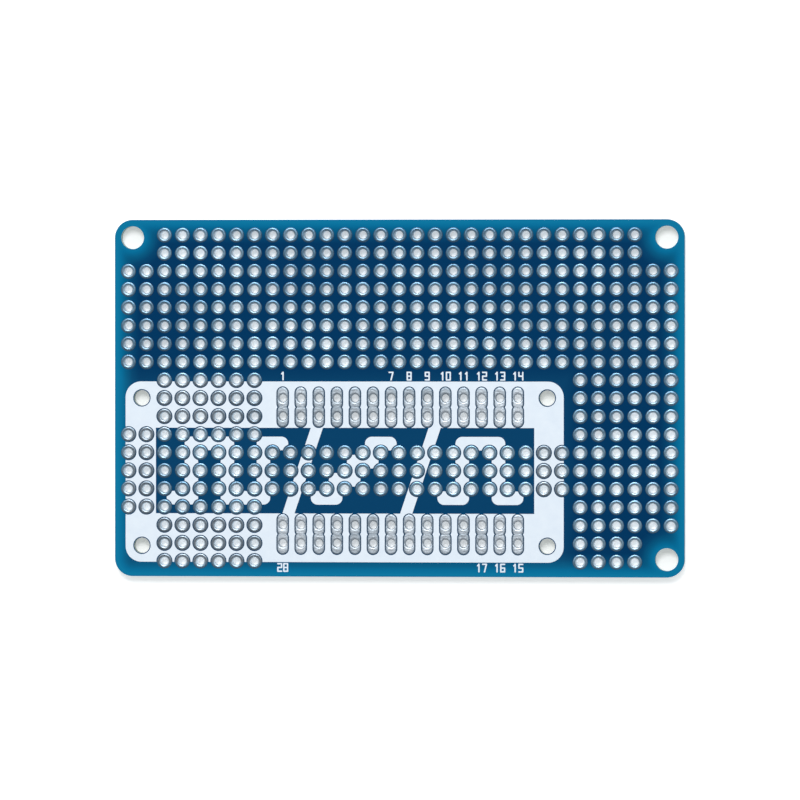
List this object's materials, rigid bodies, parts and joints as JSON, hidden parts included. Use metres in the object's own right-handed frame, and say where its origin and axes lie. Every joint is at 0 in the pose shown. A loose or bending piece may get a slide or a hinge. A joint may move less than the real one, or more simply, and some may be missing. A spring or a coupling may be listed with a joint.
{
  "type": "prototyping shield",
  "caption": "Bare circuit board for hand-soldered prototypes: a field of plated holes, two rows of double pin pads for a plug-in module, and screw holes in three corners.",
  "frame": {"origin": "middle of the board's outline, on the plane of the lowest pad faces on the underside", "axes": "+X along the long side, towards the block of plated holes beside the white panel; +Y towards the long edge that has a screw hole at each end; +Z out of the component side"},
  "size_m": [0.08, 0.05, 0.0017],
  "materials": {
    "laminate": "satin",
    "solder_mask": "gloss",
    "white_print": "satin",
    "tinned_copper": "satin"
  },
  "bodies": {
    "root": {"pressed_laminate": "laminate", "solder_mask_top": "solder_mask", "solder_mask_bottom": "solder_mask", "white_panel": "white_print", "white_ornament": "white_print", "white_numerals": "white_print", "plated_row_01": "tinned_copper", "plated_row_02": "tinned_copper", "plated_row_03": "tinned_copper", "plated_row_04": "tinned_copper", "plated_row_05": "tinned_copper", "plated_row_06": "tinned_copper", "plated_row_07": "tinned_copper", "plated_row_08": "tinned_copper", "plated_row_09": "tinned_copper", "plated_row_10": "tinned_copper", "plated_row_11": "tinned_copper", "plated_row_12": "tinned_copper", "plated_row_13": "tinned_copper", "plated_row_14": "tinned_copper", "plated_row_15": "tinned_copper", "plated_row_16": "tinned_copper", "plated_row_17": "tinned_copper", "plated_row_18": "tinned_copper", "plated_row_19": "tinned_copper", "pin_pad_01": "tinned_copper", "pin_pad_02": "tinned_copper", "pin_pad_03": "tinned_copper", "pin_pad_04": "tinned_copper", "pin_pad_05": "tinned_copper", "pin_pad_06": "tinned_copper", "pin_pad_07": "tinned_copper", "pin_pad_08": "tinned_copper", "pin_pad_09": "tinned_copper", "pin_pad_10": "tinned_copper", "pin_pad_11": "tinned_copper", "pin_pad_12": "tinned_copper", "pin_pad_13": "tinned_copper", "pin_pad_14": "tinned_copper", "pin_pad_15": "tinned_copper", "pin_pad_16": "tinned_copper", "pin_pad_17": "tinned_copper", "pin_pad_18": "tinned_copper", "pin_pad_19": "tinned_copper", "pin_pad_20": "tinned_copper", "pin_pad_21": "tinned_copper", "pin_pad_22": "tinned_copper", "pin_pad_23": "tinned_copper", "pin_pad_24": "tinned_copper", "pin_pad_25": "tinned_copper", "pin_pad_26": "tinned_copper", "pin_pad_27": "tinned_copper", "pin_pad_28": "tinned_copper"}
  },
  "joints": []
}
